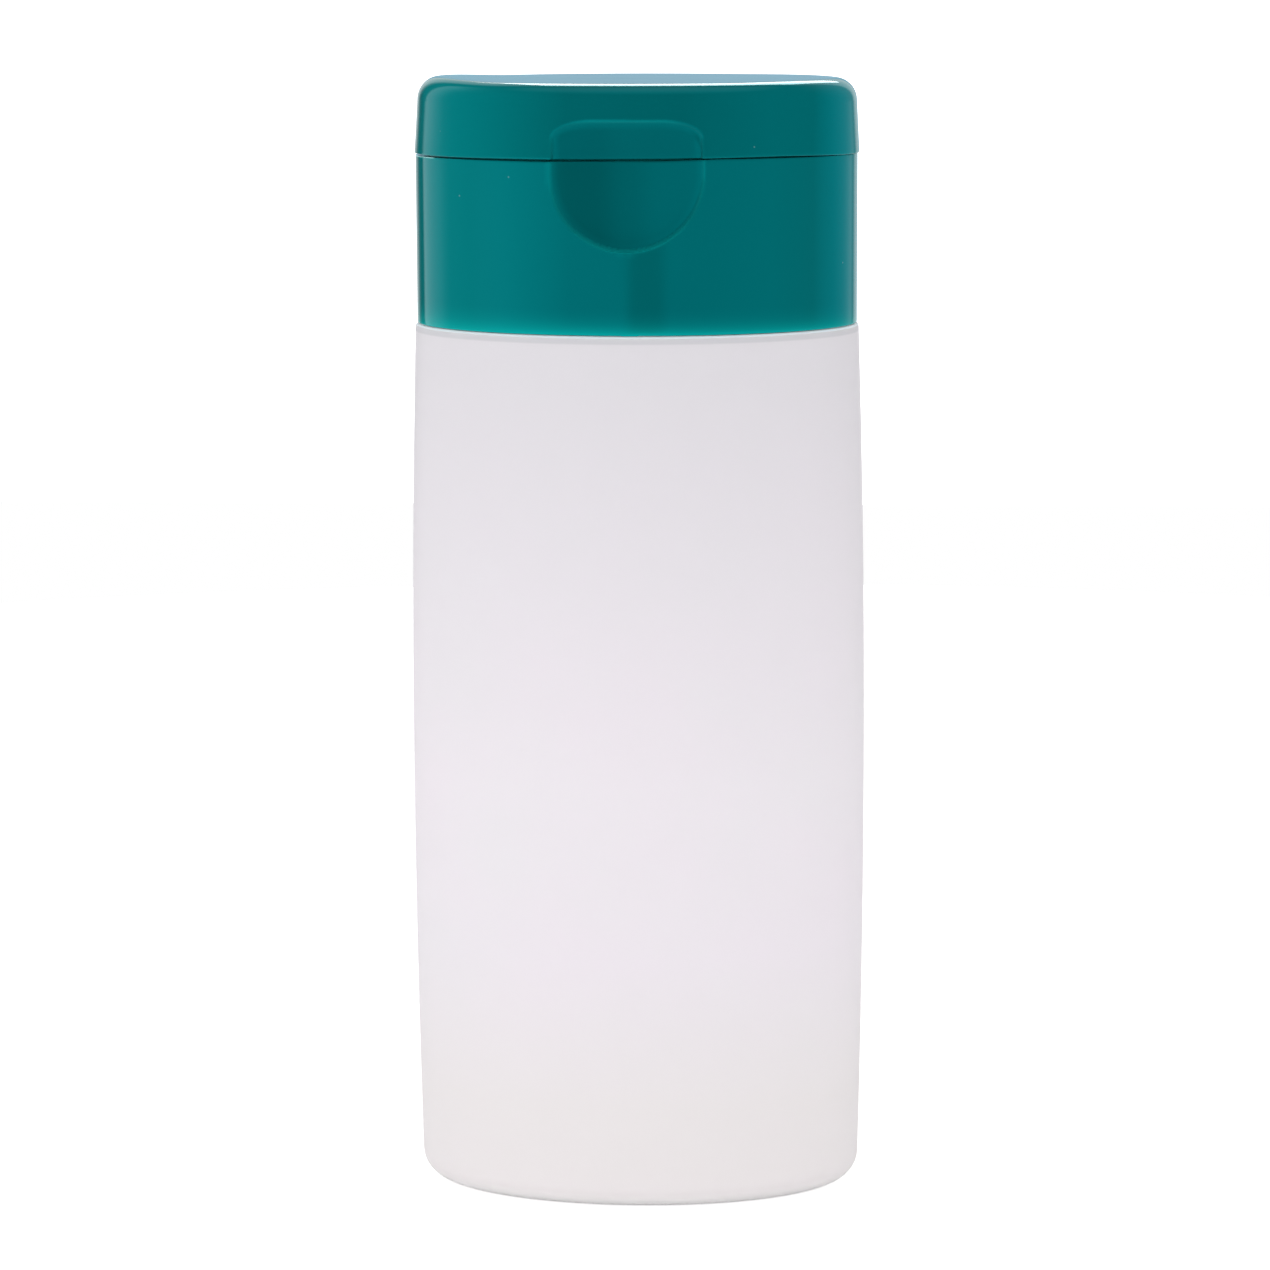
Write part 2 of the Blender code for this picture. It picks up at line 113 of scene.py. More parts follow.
# The parting as moulded, in millimetres: place across, and how far the lid's and the cap's edges stray
PARTING_EDGES = (
    (-25.4, -0.35, -0.26), (-22.5, -0.29, -0.15), (-19.3, -0.25, -0.11), (-13.4, -0.165, -0.075),
    (-3.2, -0.145, -0.075), (3.6, -0.11, -0.05), (7.5, -0.05, 0.09), (9.7, -0.04, 0.2), (12, -0.015, 0.165),
    (17, 0.005, 0.125), (20.5, -0.11, 0.09), (23.8, -0.27, 0.03), (25.4, -0.36, -0.06),
)
LID_STRAY, CAP_STRAY = 1, 2
PARTING_BLUR = (-1, -0.5, 0, 0.5, 1)

# Neck, sleeve and screw thread, which the cap hides
SLEEVE_WALL = 1.2 * MM
SLEEVE_BORE = INNER_FLAT - SLEEVE_WALL / 4
SLEEVE_LOW = CAP_BOTTOM + 0.9 * MM
SLEEVE_TOP = DECK_UNDERSIDE + 0.3 * MM
NECK_RADIUS = SLEEVE_BORE - 1.55 * MM
NECK_WALL = 1.9 * MM
NECK_TOP = 119.8 * MM
NECK_FILLET = 1 * MM
NECK_LIP = 0.4 * MM
THREAD_PITCH = 3.18 * MM
THREAD_RADIUS = 0.9 * MM
THREAD_STAND_OFF = 0.2 * MM
THREAD_END_SHARE = 0.35
THREAD_LOW = 111.83 * MM
THREAD_TURNS = 1.5
CAP_THREAD_TURNS = 1.25

# Thumb recess at the front and hinge land at the back, both across the parting
RECESS_SHIFT = -0.32 * MM
RECESS_HALF = 8.72 * MM
RECESS_CENTRE = 120.42 * MM
RECESS_LID_HALF = 8.5 * MM
RECESS_TOP = 126.35 * MM
RECESS_CORNER_WIDTH = 4.9 * MM
RECESS_CORNER_HEIGHT = 2 * MM
RECESS_SIDE_CURL = 0.36 * MM
RECESS_LID_CURL = 0.3
RECESS_CURL_POWER = 2.5
RECESS_FLOOR = CAP_HALF_DEPTH - THICK_WALL * 0.5
RECESS_RIM = (0.1 * MM, 0.24 * MM)
RECESS_TOP_STEP = 0.1
LAND_HALF = 12 * MM
LAND_RISE = 3.1 * MM
LAND_FLOOR = CAP_HALF_DEPTH - THICK_WALL * 0.44
LAND_RIM = (0.1 * MM, 0.14 * MM)

# Hinge webs, moulded in one with the cap and the lid, with spans from 0 at the middle to 1 at the roots
HINGE_NEAR = LAND_FLOOR + 0.3 * MM
FILM_THICKNESS = 0.35 * MM
FILM_RISE = 1.8 * MM
FILM_WIDTH = 3 * MM
FILM_OFFSET = 5.6 * MM
STRAP_THICKNESS = 0.7 * MM
STRAP_RISE = 2.4 * MM
STRAP_WIDTH = 4.4 * MM
FILM_WAIST = 0.1
STRAP_WAIST = 0.3
WEB_SINK = 0.05 * MM
WEB_ROOT_SPAN = (0.55, 1)
WEB_END_SPAN = (0.8, 1)
WEB_END_THINNING = 0.85
WEB_MIDDLE_THICKNESS = 0.72
WEB_ROOT_THICKNESS = 0.28
WEB_SIDE_THINNING = 0.25
WEB_SIDE_POWER = 6

# Painted highlight: how much the teal's colour is lightened at the recess's rim and along the parting, at the
# parting's left slit and right end and on the ledge behind it. The rim's share is more at its low and top
# ends and less in the lid and at its top corners
RIM_GLOW_WIDTH = 0.18 * MM
RIM_GLOW_PLACE = 0.03 * MM
RIM_GLOW = 0.28
RIM_GLOW_LOW = 0.5
RIM_GLOW_LOW_START = RECESS_CENTRE - 4 * MM
RIM_GLOW_LID = 0.16
RIM_GLOW_TOP = 0.28
RIM_GLOW_TOP_SPAN = (RECESS_TOP - 2 * MM, RECESS_TOP - 0.3 * MM)
RIM_GLOW_CORNER = 0.2
RIM_GLOW_CORNER_SPAN = (-7.6 * MM, -4 * MM)
LID_EDGE_GLOW = 0.2
LID_EDGE_GLOW_WIDTH = 0.14 * MM
LEFT_SLIT_GLOW = 2
LEFT_SLIT_WIDTH = 0.12 * MM
LEFT_SLIT_SPAN = (22 * MM, 23 * MM)
RIGHT_EDGE_GLOW = 0.3
RIGHT_EDGE_WIDTH = 0.2 * MM
RIGHT_EDGE_SPAN = (21.5 * MM, 23.5 * MM)
# Painted light on the cap's ledge behind the parting gap
LEDGE_REACH = 0.03 * MM
LEDGE_INSIDE = 0.97
LEDGE_FRONT = 0.5 * MM - RECESS_FLOOR

# Painted shade in the recess: how dark it is everywhere, how much more at its left, and by what further share
# in the lid
HOLLOW_DARK = 0.15
HOLLOW_DARK_LEFT = 0.07
HOLLOW_DARK_LID = 0.4
HOLLOW_SPAN = (0.2 * MM, 1.2 * MM)
HOLLOW_LEFT_REACH = 4 * MM
HOLLOW_FRONT = 0.1 * MM - RECESS_FLOOR

# Fineness of the meshes, as sizes of steps or as numbers of columns, rows and steps
FINE_STEP = 0.12 * MM
COLUMNS = 224
ROUND_COLUMNS = 96
PIN_COLUMNS = 48
BODY_ROW_STEP = 2 * MM
EDGE_STEPS = 4
HEEL_STEPS = 14
SHOULDER_STEPS = 8
NECK_FILLET_STEPS = 6
NECK_ROWS = 9
SKIRT_ROWS = 14
SPOUT_FOOT_STEPS = 8
SPOUT_EDGE_STEPS = 5
LID_INNER_STEPS = 6
LID_TOP_STEPS = 16
BEAD_STEPS_EACH_TURN = 72
BEAD_END_STEPS = 6
BEAD_COLUMNS = 12
WEB_COLUMNS = 13
WEB_ROWS = 25
SHARP_ANGLE = 40
TINY = 1e-9

# The camera, fitted to the photograph
IMAGE_WIDTH = 1270
FOCAL_PIXELS = 4500
SENSOR = 36
AZIMUTH = 3.17
ELEVATION = 10.31
ROLL = -0.246
TARGET_SIDE = -0.37 * MM
TARGET_HEIGHT = 65.37 * MM
DISTANCE = 527.4 * MM
NEAR_CLIP = 0.01
FAR_CLIP = 20

# All plastics: how they bend light, and where the values of noise mostly lie
PLASTIC_IOR = 1.5
NOISE_SPAN = (0.3, 0.7)

# The milky body: plain colour, mottling, then its colours by height, as where each starts and is full in
# millimetres, which hold painted shade and painted light besides tone, and its matte surface
MILKY_PLAIN = (0.83, 0.79, 0.84)
MILKY_PLAIN_ROUGHNESS = 0.45
MILKY_CLOUDS = ((0.89, 0.806, 0.89), (0.87, 0.812, 0.878))
MILKY_CLOUD_SCALE = 45.0
MILKY_CLOUD_SPAN = (0.35, 0.65)
MILKY_TONE_AND_PAINTED_LIGHT_BANDS = (
    # Warmer and a little darker towards the foot
    (30, 12, (0.858, 0.8, 0.815)),
    # Painted shade: the upper body darker under the cap
    (50, 98, (0.728, 0.7, 0.745)),
    # Painted shade: a darker band on the shoulder under the skirt's edge
    (101.24, 101.44, (0.61, 0.6, 0.64)),
    # Painted highlight: a pale bluish line along the shoulder's top
    (101.95, 102.05, (0.78, 0.88, 1.0)),
    # Back to the body's colour above that painted line
    (102.18, 102.23, (0.84, 0.8, 0.85)),
    # Painted light: the heel lighter, against its shade near the floor
    (2, 0.3, (1.0, 0.96, 0.97)),
)
MILKY_GRAIN_SCALE = 2600.0
MILKY_ROUGHNESS = (0.4, 0.52)
MILKY_STREAK_SCALE = 160.0
MILKY_STREAK_STRETCH = (1, 1, 0.12)
MILKY_STREAK_SHARE = 0.35
MILKY_RELIEF = (0.12, 0.02 * MM)
MILKY_SPECULAR = 0.3
MILKY_SCATTER = 0.7
MILKY_SCATTER_RADIUS = (1.0, 0.95, 1.0)
MILKY_SCATTER_SCALE = 2.2 * MM

# The teal cap: plain colour, flow marks, its colours by place across in the same way, which paint light on
# its sides, the painted light on its skirt, the colours of its painted highlights and painted recess shade,
# its specks, and its glossy surface
TEAL_PLAIN = (0.0, 0.12, 0.132)
TEAL_PLAIN_ROUGHNESS = 0.12
TEAL_FLOW = ((0.0003, 0.098, 0.107), (0.0003, 0.104, 0.113))
TEAL_FLOW_SCALE = 60.0
TEAL_PAINTED_SIDE_LIGHT = (
    # Painted light: the right side lighter, most near its edge
    (6, 16, (0.0003, 0.122, 0.133)),
    (20.5, 24.5, (0.0003, 0.2, 0.232)),
    # Painted light: the left side lighter, and less so at its very edge
    (-7, -22, (0.0003, 0.178, 0.19)),
    (-23.8, -24.2, (0.0003, 0.14, 0.15)),
)
# Painted light along the skirt's lower edge, most at its left
TEAL_SKIRT_PAINTED_LIGHT = (0.002, 0.37, 0.35)
TEAL_SKIRT_SPAN = (CAP_BOTTOM - 0.1 * MM, CAP_BOTTOM + 3 * MM)
TEAL_SKIRT_LEFT = -22 * MM
TEAL_SKIRT_FALL = (2.8, 4.1)
TEAL_SKIRT_FALL_RIGHT = 6 * MM
TEAL_SKIRT_SHARE = (1.0, 0.85)
# Painted highlight at the recess's rim and along the parting
TEAL_PAINTED_EDGE_LIGHT = (0.002, 0.26, 0.26)
# Painted light at the parting's left slit
TEAL_PAINTED_SLIT_LIGHT = (0.5, 0.9, 0.9)
# Painted shade in the recess
TEAL_PAINTED_RECESS_SHADE = (0.0, 0.0, 0.0)
TEAL_SPECK = (0.25, 0.45, 0.45)
TEAL_SPECK_SCALE = 260.0
TEAL_SPECK_SPAN = (0.02, 0.035)
TEAL_SPECK_SHARE = 0.3
TEAL_WEAR_SCALE = 140.0
TEAL_ROUGHNESS = (0.07, 0.1)
TEAL_RELIEF = (0.01, 0.01 * MM)
TEAL_TINT = (0.0, 0.85, 1.0, 1)

# The washer's foam
FOAM_PLAIN = (0.85, 0.85, 0.84)
FOAM_ROUGHNESS = 0.75
FOAM_CELLS = ((0.86, 0.86, 0.85), (0.78, 0.78, 0.77))
FOAM_CELL_SCALE = 2500.0
FOAM_CELL_SPAN = (0.1, 0.6)
FOAM_RELIEF = (0.3, 0.05 * MM)

# The stage: a round floor and an upright backdrop, with how pale each is and how it glows for the camera
FLOOR_RADIUS = 0.42
FLOOR_COLUMNS = 96
FLOOR_ALBEDO = 0.88
FLOOR_GLOW = 0.6
FLOOR_GLOSS = 0.1
BACKDROP_HALF = 0.34
BACKDROP_PLACE = 0.86
BACKDROP_LOW = -0.05
BACKDROP_TOP = 0.16
BACKDROP_ALBEDO = 0.8
BACKDROP_GLOW = 1.0

# Lamps: name, degrees of azimuth and elevation, distance, width, height, radiance, and whether for gloss
LAMPS = (
    ("overhead", 175, 42, 0.7, 0.333, 0.34, 6.5, True),
    ("front_fill", 0, 18, 1.1, 1.2, 0.8, 1.0, False),
    ("left_fill", -75, 10, 1.0, 0.6, 0.8, 0.5, False),
)
LAMPS_AIM = Vector((0, 0, 0.08))

# The world: its even light, then what gloss reflects by the height and depth of its direction: the table's
# far edge, the ceiling (start, full, brightness) and a pale patch at the back
WORLD_LIGHT = 0.905
TABLE_EDGE = (-0.045, 0.0)
CEILING_GLOW = ((0.72, 0.86, 0.03), (0.88, 1.0, 0.9))
BACK_GLOW = (0.37, 0.57, 0.71)
BACK_SPAN = (0.955, 0.98)
BACK_TOP = (0.18, 0.3)

# What gloss reflects round the bottle: degrees of azimuth from the front, and brightness
TABLE_GLOW = (
    (-180, 1.0), (-154, 0.9), (-146, 0.3), (-140, 0.05), (-129, 0.0), (-126, 1.25), (-120, 1.15), (-113, 1.0),
    (-103, 0.82), (-97, 0.65), (-91, 0.33), (-86, 0.15), (-70, 0.2), (-50, 0.85), (-28, 0.95), (-14, 0.85),
    (-5, 0.85), (-2, 0.0), (6, 0.0), (10, 0.7), (25, 0.5), (60, 0.2), (100, 0.1), (116, 0.25), (126, 0.45),
    (134, 0.6), (139, 0.4), (143, 0.15), (150, 0.9), (180, 1.0),
)
ROOM_GLOW = (
    (-180, 1.0), (-153, 1.0), (-146, 0.3), (-141, 0.03), (-127, 0.03), (-123, 1.0), (-112, 0.95), (-102, 0.6),
    (-94, 0.25), (-80, 0.1), (-40, 0.06), (0, 0.02), (90, 0.04), (105, 0.15), (134, 0.3), (142, 0.25),
    (149, 1.1), (180, 1.0),
)


# Mesh building from rows of points


def loft(rows, ring=False):
    """Faces between rows with the same number of points, or one. Rows run up the outside, anticlockwise."""
    points, faces, starts = [], [], []
    for row in rows:
        starts.append((len(points), len(row)))
        points.extend(row)
    pairs = list(zip(starts, starts[1:]))
    if ring:
        pairs.append((starts[-1], starts[0]))
    for (low, low_count), (high, high_count) in pairs:
        count = max(low_count, high_count)
        for i in range(count):
            j = (i + 1) % count
            corners = [low + i % low_count, low + j % low_count, high + j % high_count, high + i % high_count]
            faces.append(list(dict.fromkeys(corners)))
    return points, faces


def joined(*parts):
    """Several lots of points and faces as one."""
    points, faces = [], []
    for more_points, more_faces in parts:
        start = len(points)
        points.extend(more_points)
        faces.extend([start + i for i in face] for face in more_faces)
    return points, faces


def split_short(corners, face):
    """The face's corners, turned so that four of them split along the shorter diagonal, to follow a rim."""
    if len(face) < 4:
        return face
    a, b, c, d = (corners[i] for i in face)
    return face[1:] + face[:1] if math.dist(a, c) > math.dist(b, d) else face


def make_piece(name, shape, material, slot):
    points, faces = shape
    corners = [tuple(p) for p in points]
    mesh = bpy.data.meshes.new(name)
    mesh.from_pydata(corners, [], [split_short(corners, face) for face in faces])
    mesh.shade_smooth()
    mesh.set_sharp_from_angle(angle=math.radians(SHARP_ANGLE))
    mesh.materials.append(material)
    if slot == "teal_polypropylene":
        # Each point's shares of painted highlight and painted recess shade, for the teal's colour
        for attribute, values in zip(("painted_edge_light", "painted_recess_shade"), painted_edge_light_and_recess_shade(points)):
            mesh.attributes.new(attribute, "FLOAT", "POINT").data.foreach_set("value", values)
    obj = bpy.data.objects.new(name, mesh)
    bpy.context.scene.collection.objects.link(obj)
    return obj


def arc(radius, start, end, steps):
    """Offsets outwards and up along an arc about its own centre, in degrees."""
    angles = np.radians(np.linspace(start, end, steps + 1))
    return list(zip(radius * np.cos(angles), radius * np.sin(angles)))


def at_height(x, y, height):
    return np.column_stack([x, y, np.broadcast_to(height, x.shape)])


def centre(height):
    return np.array([[0, 0, height]])


def oval(angles, half_width, half_depth, height, flat=None):
    y = half_depth * np.sin(angles)
    if flat is not None:
        y = np.clip(y, -flat, flat)
    return at_height(half_width * np.cos(angles), y, height)


def circle(angles, radius, height):
    return oval(angles, radius, radius, height)


def inset(row, distance):
    """A closed row of points at one height, moved inwards by a distance along its own normals."""
    along = np.roll(row, -1, axis=0) - np.roll(row, 1, axis=0)
    normal = np.column_stack([along[:, 1], -along[:, 0]])
    normal /= np.linalg.norm(normal, axis=1)[:, None]
    moved = row.copy()
    moved[:, :2] -= normal * distance
    return moved


def round_angles(count=COLUMNS):
    return np.linspace(0, math.tau, count, endpoint=False)


def cap_angles():
    """Columns round the cap: close together across the recess."""
    reach = RECESS_HALF + 4 * RECESS_RIM[0]
    across = np.linspace(-reach, reach, 2 * round(reach / FINE_STEP) + 1)
    fine = math.tau - np.arccos(across / CAP_HALF_WIDTH)
    rest = np.linspace(fine[-1], fine[0] + math.tau, COLUMNS)[1:-1]
    return np.concatenate([fine, rest])


def smooth_step(values, low, high):
    t = np.clip((values - low) / (high - low), 0, 1)
    return t * t * (3 - 2 * t)


def bell(distance, width):
    """1 where the distance is nothing, falling away on both sides."""
    return np.exp(-((distance / width) ** 2))


def parting_edge(x, column):
    """How far the lid's or the cap's edge strays in height at places across, smoothed."""
    places = [row[0] * MM for row in PARTING_EDGES]
    strays = [row[column] * MM for row in PARTING_EDGES]
    return sum(np.interp(x + step * MM, places, strays) for step in PARTING_BLUR) / len(PARTING_BLUR)


def recess_inside(x, z):
    """How far points in front lie inside the recess's outline: a U in the cap, a low arch in the lid."""
    side = np.abs(x - RECESS_SHIFT)
    low = RECESS_HALF - np.hypot(side, np.minimum(z - RECESS_CENTRE, 0))
    out = np.maximum(side - (RECESS_LID_HALF - RECESS_CORNER_WIDTH), TINY)
    corner_low = RECESS_TOP - RECESS_CORNER_HEIGHT
    up = np.maximum(z - corner_low, TINY) * RECESS_CORNER_WIDTH / RECESS_CORNER_HEIGHT
    reach = np.hypot(out, up)
    steep = np.hypot(out, up * RECESS_CORNER_WIDTH / RECESS_CORNER_HEIGHT) / reach
    high = (RECESS_CORNER_WIDTH - reach) / steep
    return np.where(z < PARTING, low, high)


def carve(row):
    """Presses the thumb recess and the hinge land into a row of the cap's outside."""
    x, y, z = row[:, 0].copy(), row[:, 1].copy(), row[:, 2]
    inside = recess_inside(x, z)
    curl = RECESS_SIDE_CURL * (1 if z[0] < PARTING else RECESS_LID_CURL)
    floor = RECESS_FLOOR + curl * np.abs((x - RECESS_SHIFT) / RECESS_HALF) ** RECESS_CURL_POWER
    depth = np.maximum(-floor - y, 0) * smooth_step(inside, -RECESS_RIM[0], RECESS_RIM[1])
    slope = np.clip((RECESS_TOP - z) / (RECESS_TOP - PARTING), 0, 1)
    depth *= RECESS_TOP_STEP + (1 - RECESS_TOP_STEP) * slope
    y = np.where(y < 0, y + depth, y)
    inside = np.minimum(LAND_HALF - np.abs(x), LAND_RISE - np.abs(z - PARTING))
    depth = np.maximum(y - LAND_FLOOR, 0) * smooth_step(inside, -LAND_RIM[0], LAND_RIM[1])
    y = np.where(y > 0, y - depth, y)
    return np.column_stack([x, y, row[:, 2]])


def painted_edge_light_and_recess_shade(points):
    """How much painted highlight each point gets at the recess's rim and the parting, and how much painted
    shade in the recess.
    """
    x, y, z = np.array(points).T
    in_lid = z > PARTING
    in_front = y < HOLLOW_FRONT
    inside = recess_inside(x, z)
    # Painted shade in the recess, more at its left and in the lid
    dark = HOLLOW_DARK + HOLLOW_DARK_LEFT * smooth_step(-x, 0, HOLLOW_LEFT_REACH)
    painted_recess_shade = smooth_step(inside, *HOLLOW_SPAN) * in_front * dark
    painted_recess_shade *= 1 + HOLLOW_DARK_LID * in_lid
    # Painted highlight along the recess's rim
    low = smooth_step(-z, -RIM_GLOW_LOW_START, -RECESS_CENTRE + RECESS_HALF)
    corner = smooth_step(-np.abs(x - RECESS_SHIFT), *RIM_GLOW_CORNER_SPAN)
    top = smooth_step(z, *RIM_GLOW_TOP_SPAN) * ((1 + RIM_GLOW_CORNER) * corner - RIM_GLOW_CORNER)
    rim = bell(inside - RIM_GLOW_PLACE, RIM_GLOW_WIDTH) * in_front
    rim *= RIM_GLOW + RIM_GLOW_LOW * low - RIM_GLOW_LID * in_lid + RIM_GLOW_TOP * top
    # Painted highlights along the lid's lower edge, the parting's left slit and right end, and the ledge
    # behind it
    above = z - LID_BOTTOM - parting_edge(x, LID_STRAY)
    below = CAP_TOP + parting_edge(x, CAP_STRAY) - z
    lid_edge = np.exp(-np.abs(above) / LID_EDGE_GLOW_WIDTH) * in_lid * LID_EDGE_GLOW
    left = bell(below, LEFT_SLIT_WIDTH) * smooth_step(-x, *LEFT_SLIT_SPAN) * LEFT_SLIT_GLOW
    right = bell(np.minimum(np.abs(above), np.abs(below)), RIGHT_EDGE_WIDTH)
    right *= smooth_step(x, *RIGHT_EDGE_SPAN) * RIGHT_EDGE_GLOW
    behind_wall = np.hypot(x / CAP_HALF_WIDTH, y / CAP_HALF_DEPTH) < LEDGE_INSIDE
    ledge = (np.abs(below) < LEDGE_REACH) & behind_wall & (y > LEDGE_FRONT)
    return np.maximum.reduce([rim, lid_edge, left, right, ledge]), painted_recess_shade


def lathe(profile, count=ROUND_COLUMNS):
    """A closed profile of radii and heights, up its inner side, turned round the Z axis."""
    angles = round_angles(count)
    return loft([circle(angles, radius, height) for radius, height in reversed(profile)], ring=True)


def bead(radius, low, turns):
    """A round bead of the thread along a right-handed helix, thinner at both ends."""
    steps = round(turns * BEAD_STEPS_EACH_TURN)
    around = round_angles(BEAD_COLUMNS)
    rows = []
    for i in range(steps + 1):
        turn = math.tau * turns * i / steps
        out = Vector((math.cos(turn), math.sin(turn), 0))
        middle = out * radius + Vector((0, 0, low + THREAD_PITCH * turns * i / steps))
        full = min(i / BEAD_END_STEPS, (steps - i) / BEAD_END_STEPS, 1)
        size = THREAD_RADIUS * (THREAD_END_SHARE + (1 - THREAD_END_SHARE) * full)
        rows.append([
            middle + out * (size * math.cos(a)) + Vector((0, 0, size * math.sin(a))) for a in around
        ])
    first = sum(rows[0], Vector()) / len(around)
    last = sum(rows[-1], Vector()) / len(around)
    return loft([[first], *[row[::-1] for row in rows], [last]])


def inner_wall(outside, walls):
    """The rows of a shell's inside: each row of its outside, moved in along its normals by its own wall."""
    up = np.gradient(outside, axis=0)
    around = np.roll(outside, -1, axis=1) - np.roll(outside, 1, axis=1)
    normal = np.cross(around, up)
    normal /= np.linalg.norm(normal, axis=2)[:, :, None]
    return outside - normal * walls[:, None, None]


# The pieces


def body_half_width(height):
    if height < BELLY_HEIGHT:
        share = (BELLY_HEIGHT - height) / (BELLY_HEIGHT - HEEL_RADIUS)
        return (BELLY_WIDTH - (BELLY_WIDTH - BASE_WIDTH) * share**2) / 2
    share = (height - BELLY_HEIGHT) / (BODY_HEIGHT - SHOULDER_RADIUS - BELLY_HEIGHT)
    return (BELLY_WIDTH - (BELLY_WIDTH - SHOULDER_WIDTH) * share**2) / 2


def body_row(angles, height, drawn_in=0.0, level=None):
    half_width = body_half_width(height)
    level = height if level is None else level
    return oval(angles, half_width - drawn_in, half_width * DEPTH_SHARE - drawn_in, level)


def bottle_shape():
    angles = round_angles()
    rows = []
    ring_inset = HEEL_RADIUS + STAND_RING_WIDTH
    dome_wide = BASE_WIDTH / 2 - ring_inset
    dome_deep = BASE_WIDTH / 2 * DEPTH_SHARE - ring_inset
    for share in PUSH_UP_SHARES:
        rise = PUSH_UP_HEIGHT * (1 - share**2) ** PUSH_UP_POWER
        rows.append(oval(angles, dome_wide * share, dome_deep * share, rise))
    rows.append(body_row(angles, HEEL_RADIUS, ring_inset - STAND_RING_EDGE / 2, STAND_RING_LIFT))
    rows.append(body_row(angles, HEEL_RADIUS, ring_inset - STAND_RING_EDGE, 0))
    for out, up in arc(HEEL_RADIUS, -90, 0, HEEL_STEPS):
        rows.append(body_row(angles, HEEL_RADIUS, HEEL_RADIUS - out, HEEL_RADIUS + up))
    shoulder = BODY_HEIGHT - SHOULDER_RADIUS
    for height in np.linspace(HEEL_RADIUS, shoulder, round((shoulder - HEEL_RADIUS) / BODY_ROW_STEP))[1:]:
        rows.append(body_row(angles, height))
    for out, up in arc(SHOULDER_RADIUS, 0, 90, SHOULDER_STEPS)[1:]:
        rows.append(body_row(angles, shoulder, SHOULDER_RADIUS - out, shoulder + up))
    body_rows = len(rows)
    for out, up in arc(NECK_FILLET, 270, 180, NECK_FILLET_STEPS):
        rows.append(circle(angles, NECK_RADIUS + NECK_FILLET + out, BODY_HEIGHT + NECK_FILLET + up))
    for height in np.linspace(BODY_HEIGHT + NECK_FILLET, NECK_TOP - NECK_LIP, NECK_ROWS)[1:]:
        rows.append(circle(angles, NECK_RADIUS, height))
    walls = np.where(np.arange(len(rows)) < body_rows, BODY_WALL, NECK_WALL)
    inside = inner_wall(np.array(rows), walls)
    for out, up in arc(NECK_LIP, 0, 90, EDGE_STEPS)[1:]:
        rows.append(circle(angles, NECK_RADIUS - NECK_LIP + out, NECK_TOP - NECK_LIP + up))
    bore = NECK_RADIUS - NECK_WALL
    for out, up in arc(NECK_LIP, 90, 180, EDGE_STEPS)[:-1]:
        rows.append(circle(angles, bore + NECK_LIP + out, NECK_TOP - NECK_LIP + up))
    shell = loft([centre(PUSH_UP_HEIGHT), *rows, *inside[::-1], centre(PUSH_UP_HEIGHT + BODY_WALL)])
    return joined(shell, bead(NECK_RADIUS + THREAD_STAND_OFF, THREAD_LOW, THREAD_TURNS))


def skirt_edge(row):
    """Brings the cap's lower edge down on the shoulder, a little more at the small moulding nub in front."""
    lowered = row.copy()
    inside = NUB_WIDTH / 2 - np.abs(row[:, 0])
    share = smooth_step(inside, -NUB_EDGE, NUB_EDGE) * (row[:, 1] < 0)
    fade = np.clip(1 - (row[:, 2] - CAP_BOTTOM) / CAP_LOW_FADE, 0, 1)
    lowered[:, 2] -= (CAP_LOW_DROP + NUB_DROP * share) * fade
    return lowered


def rim_edge(row):
    """The cap's upper edge as moulded, a little out of level."""
    moved = row.copy()
    share = smooth_step(row[:, 2], CAP_TOP - CAP_TOP_FADE, CAP_TOP)
    moved[:, 2] += share * parting_edge(row[:, 0], CAP_STRAY)
    return moved


def lean(row):
    """The lid's edge as moulded, a little out of level, and the slight lean and rise of its top."""
    moved = row.copy()
    up = np.clip((row[:, 2] - LID_BOTTOM) / (LID_TOP - LID_BOTTOM), 0, 1)
    out = row[:, 0] / CAP_HALF_WIDTH
    high = LID_LEFT_RISE * smooth_step(-out, *LID_LEFT_RISE_SPAN)
    high += LID_RIGHT_RISE * smooth_step(out, *LID_RIGHT_RISE_SPAN)
    high -= LID_TOP_LEAN * row[:, 1] + LID_TOP_DROP
    moved[:, 2] += parting_edge(row[:, 0], LID_STRAY) * (1 - up) + high * up
    moved[:, 0] += LID_SHIFT + LID_LEFT_DRAW * smooth_step(-out, *LID_LEFT_DRAW_SPAN) * np.sqrt(up)
    return moved


def spout_rows(angles):
    """Rows up the spout from the deck, and down its orifice to the deck's underside."""
    rows = []
    foot = SPOUT_FOOT_RADIUS - SPOUT_RADIUS
    for out, up in arc(foot, 270, 180, SPOUT_FOOT_STEPS):
        rows.append(circle(angles, SPOUT_FOOT_RADIUS + out, DECK_TOP + foot + up))
    for out, up in arc(SPOUT_EDGE, 0, 90, SPOUT_EDGE_STEPS):
        rows.append(circle(angles, SPOUT_TIP_RADIUS - SPOUT_EDGE + out, SPOUT_TIP - SPOUT_EDGE + up))
    rows.append(circle(angles, ORIFICE_RADIUS + ORIFICE_EDGE, SPOUT_TIP))
    rows.append(circle(angles, ORIFICE_RADIUS, SPOUT_TIP - ORIFICE_EDGE))
    rows.append(circle(angles, ORIFICE_RADIUS, DECK_UNDERSIDE))
    return rows


